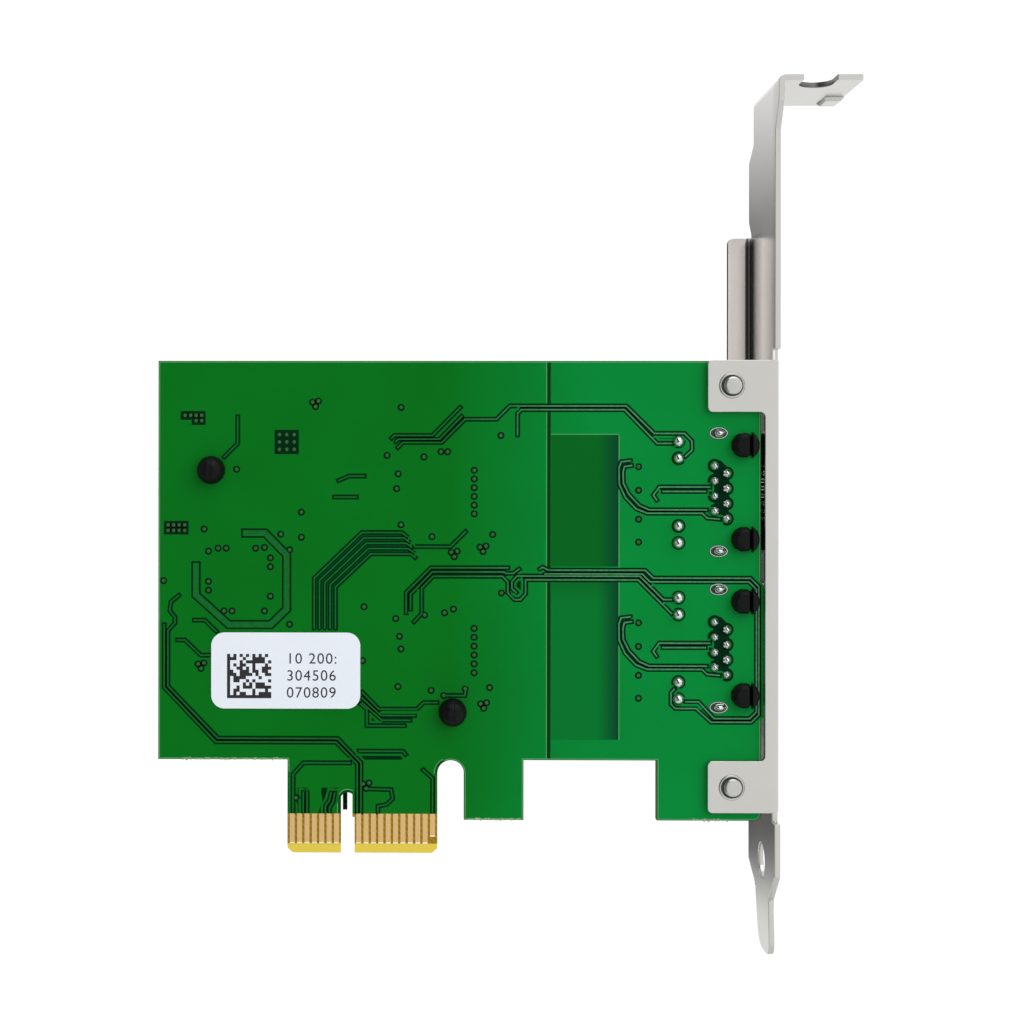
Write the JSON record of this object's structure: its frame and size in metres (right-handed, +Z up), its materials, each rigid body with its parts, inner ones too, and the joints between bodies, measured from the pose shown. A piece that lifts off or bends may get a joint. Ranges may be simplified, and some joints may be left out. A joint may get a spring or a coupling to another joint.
{
  "type": "network interface card",
  "caption": "Plug-in network card: green board with gold edge contacts, shielded jacks, a finned heatsink on push pins and a full-height folded steel bracket with flange and tongue.",
  "frame": {"origin": "centre of the key notch at the lower edge of the board's contact tongue, half way through the board", "axes": "+Z up the card, away from the slot; +X along the board to the bracket and out of the jacks; +Y out of the component side, so the solder side faces -Y"},
  "size_m": [0.0946, 0.0207, 0.12],
  "materials": {
    "board": "green solder mask on glass-fibre laminate",
    "tracks": "copper under green solder mask",
    "gold": "gold plating",
    "label": "matt white label stock",
    "solder": "bright solder",
    "bracket": "nickel-plated steel sheet",
    "screw": "zinc-plated steel",
    "shield": "tin-plated steel sheet",
    "housing": "black moulded nylon",
    "contacts": "gold-plated spring wire",
    "green_light": "clear green lens",
    "amber_light": "clear amber lens",
    "leads": "tinned leads",
    "heatsink": "clear-anodised extrusion",
    "push_pin": "black nylon",
    "spring": "spring wire",
    "package": "moulded epoxy",
    "thermal_pad": "soft grey pad",
    "crystal_can": "plated can",
    "ferrite": "pressed ferrite powder",
    "tantalum": "moulded epoxy",
    "capacitor": "fired ceramic",
    "resistor": "glazed film on ceramic"
  },
  "bodies": {
    "root": {"address_label": "label", "bracket": "bracket", "bracket_screw_lower": "screw", "bracket_screw_upper": "screw", "ceramic_capacitors": "capacitor", "chip_resistors": "resistor", "crystals": "crystal_can", "edge_contacts_component_side": "gold", "edge_contacts_solder_side": "gold", "ethernet_controller_lower_chip": "package", "ethernet_controller_lower_thermal_pad": "thermal_pad", "ethernet_controller_upper_chip": "package", "ethernet_controller_upper_thermal_pad": "thermal_pad", "heatsink": "heatsink", "jack_lower_activity_light": "amber_light", "jack_lower_contacts": "contacts", "jack_lower_housing": "housing", "jack_lower_light_leads": "leads", "jack_lower_link_light": "green_light", "jack_lower_shield": "shield", "jack_upper_activity_light": "amber_light", "jack_upper_contacts": "contacts", "jack_upper_housing": "housing", "jack_upper_light_leads": "leads", "jack_upper_link_light": "green_light", "jack_upper_shield": "shield", "memory_chip_leads": "leads", "memory_chips": "package", "pcb": "board", "pcie_switch_chip": "package", "pcie_switch_thermal_pad": "thermal_pad", "power_inductors": "ferrite", "push_pin_left": "push_pin", "push_pin_right": "push_pin", "push_pin_spring_left": "spring", "push_pin_spring_right": "spring", "solder_joints": "solder", "solder_side_tracks": "tracks", "tantalum_capacitors": "tantalum", "transformer_lower": "package", "transformer_lower_leads": "leads", "transformer_upper": "package", "transformer_upper_leads": "leads", "voltage_regulators": "package"}
  },
  "joints": []
}
